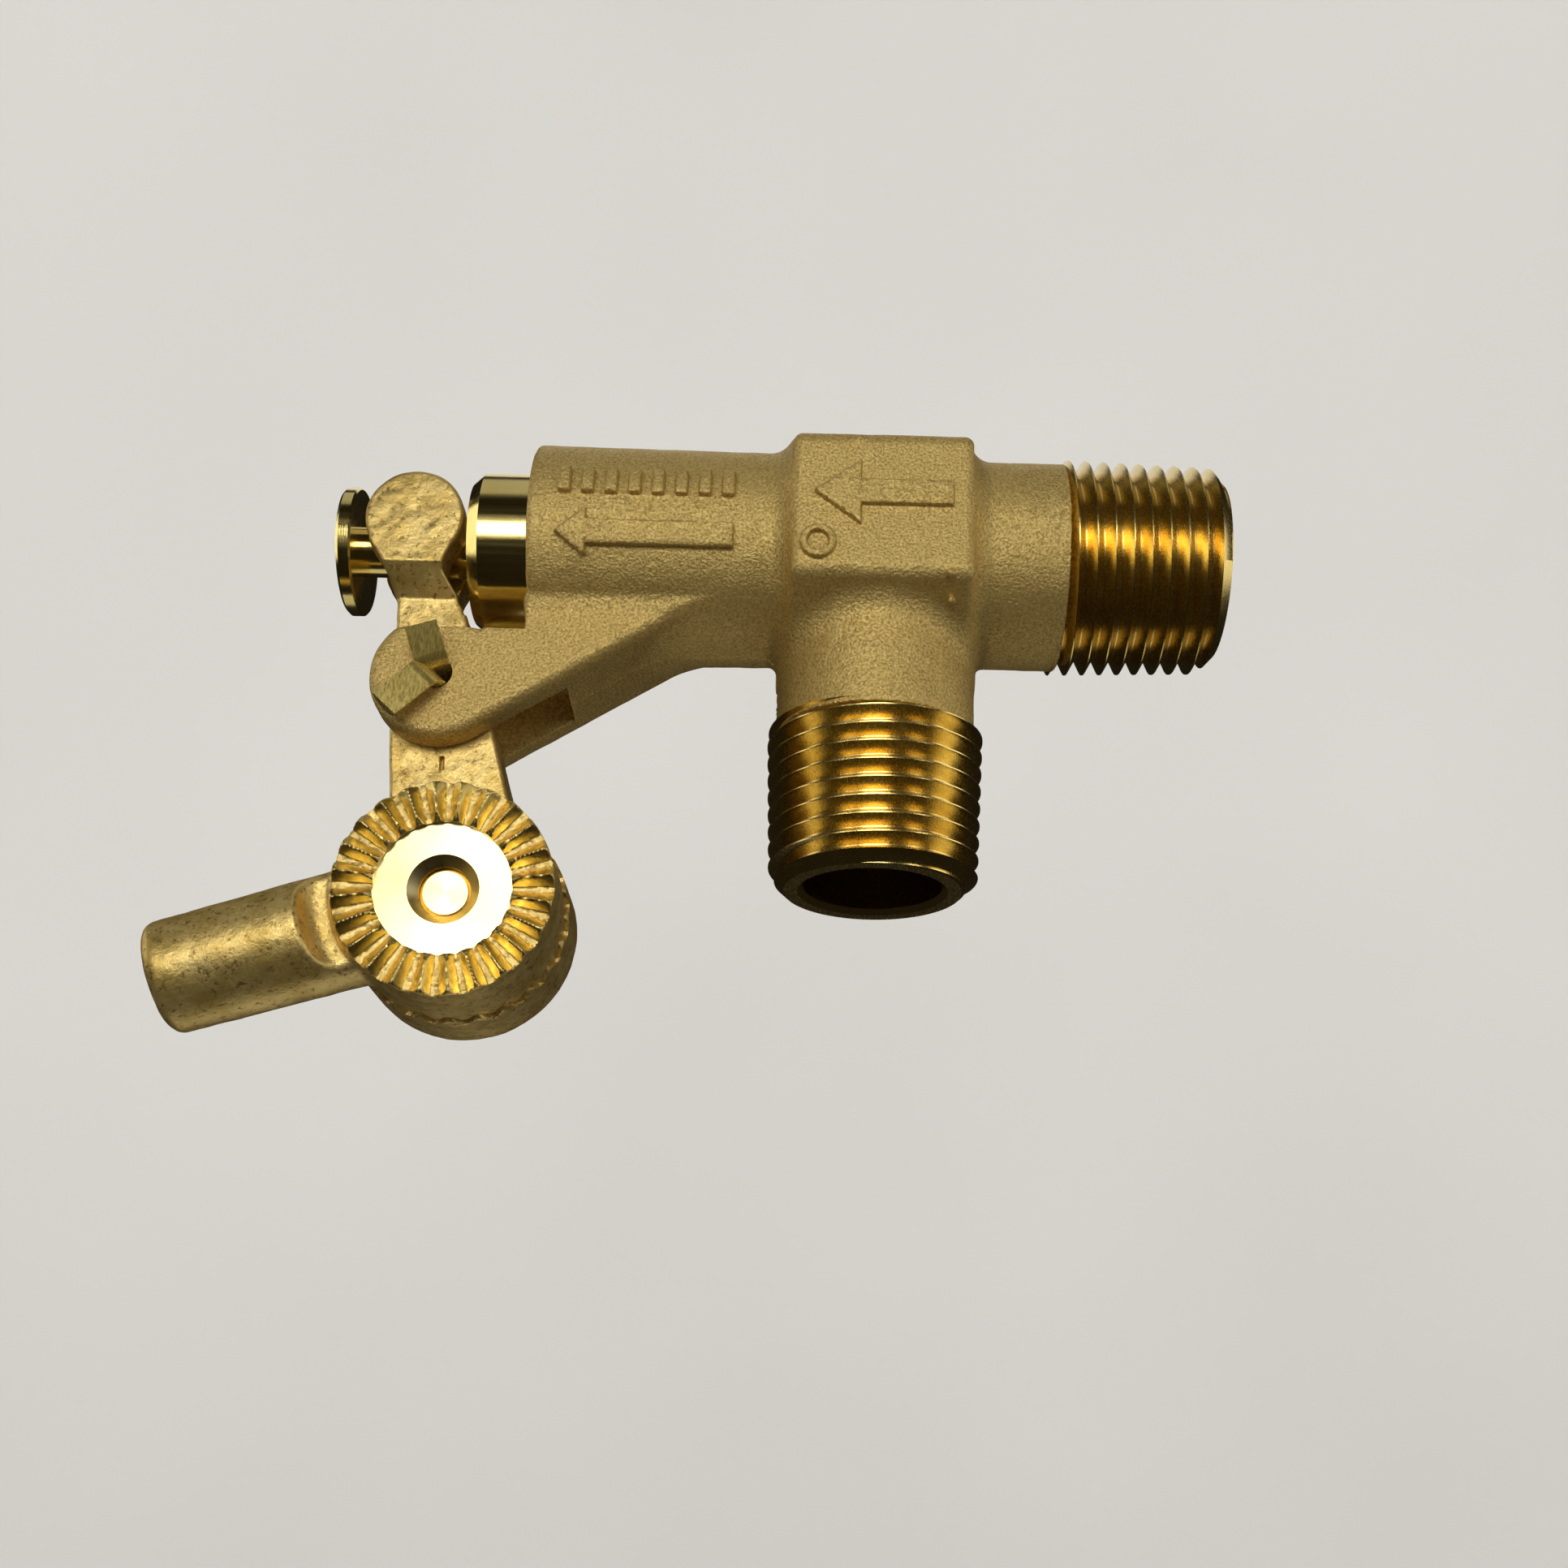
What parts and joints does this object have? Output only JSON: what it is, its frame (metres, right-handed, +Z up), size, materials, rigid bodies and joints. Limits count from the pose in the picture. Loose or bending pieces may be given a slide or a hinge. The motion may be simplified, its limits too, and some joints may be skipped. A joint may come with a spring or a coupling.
{
  "type": "float valve",
  "caption": "Cast brass float valve: threaded inlet and outlet, sliding plunger worked by a forked lever, and a serrated joint to the float rod's stem.",
  "frame": {"origin": "centre of the inlet's end face, on the inlet thread's axis", "axes": "+X out of the inlet along its thread, +Z up in use with the outlet pointing down, +Y towards the back, away from the float rod's stem"},
  "size_m": [0.103, 0.0274, 0.0683],
  "materials": {
    "cast_brass": "sand cast, matte and grainy",
    "turned_brass": "turned, bright with fine tool marks",
    "pin_brass": "drawn, satin",
    "rubber": "matte moulded rubber"
  },
  "bodies": {
    "body": {"valve_body": "cast_brass", "pivot_cotter": "pin_brass"},
    "plunger": {"plunger": "turned_brass", "seat_disc": "rubber", "plunger_o_ring": "rubber"},
    "lever": {"fork_lever": "cast_brass"},
    "arm": {"stem_arm": "cast_brass", "joint_screw": "turned_brass", "joint_lock_washer": "pin_brass"}
  },
  "joints": [
    {"name": "lever_pivot", "type": "hinge", "parent": "body", "child": "lever", "pos_m": [-0.07835, 0, -0.0165], "axis": [0, 1, 0], "range_deg": [-2, 15]},
    {"name": "plunger_slide", "type": "slide", "parent": "body", "child": "plunger", "axis": [1, 0, 0], "range_m": [-0.0007, 0.0048]},
    {"name": "arm_adjust", "type": "hinge", "parent": "lever", "child": "arm", "pos_m": [-0.07503, 0, -0.0404], "axis": [0, 1, 0], "range_deg": [-45, 60]}
  ],
  "couplings": [
    {"joint": "plunger_slide", "follows": "lever_pivot", "m_per_rad": 0.017865}
  ]
}
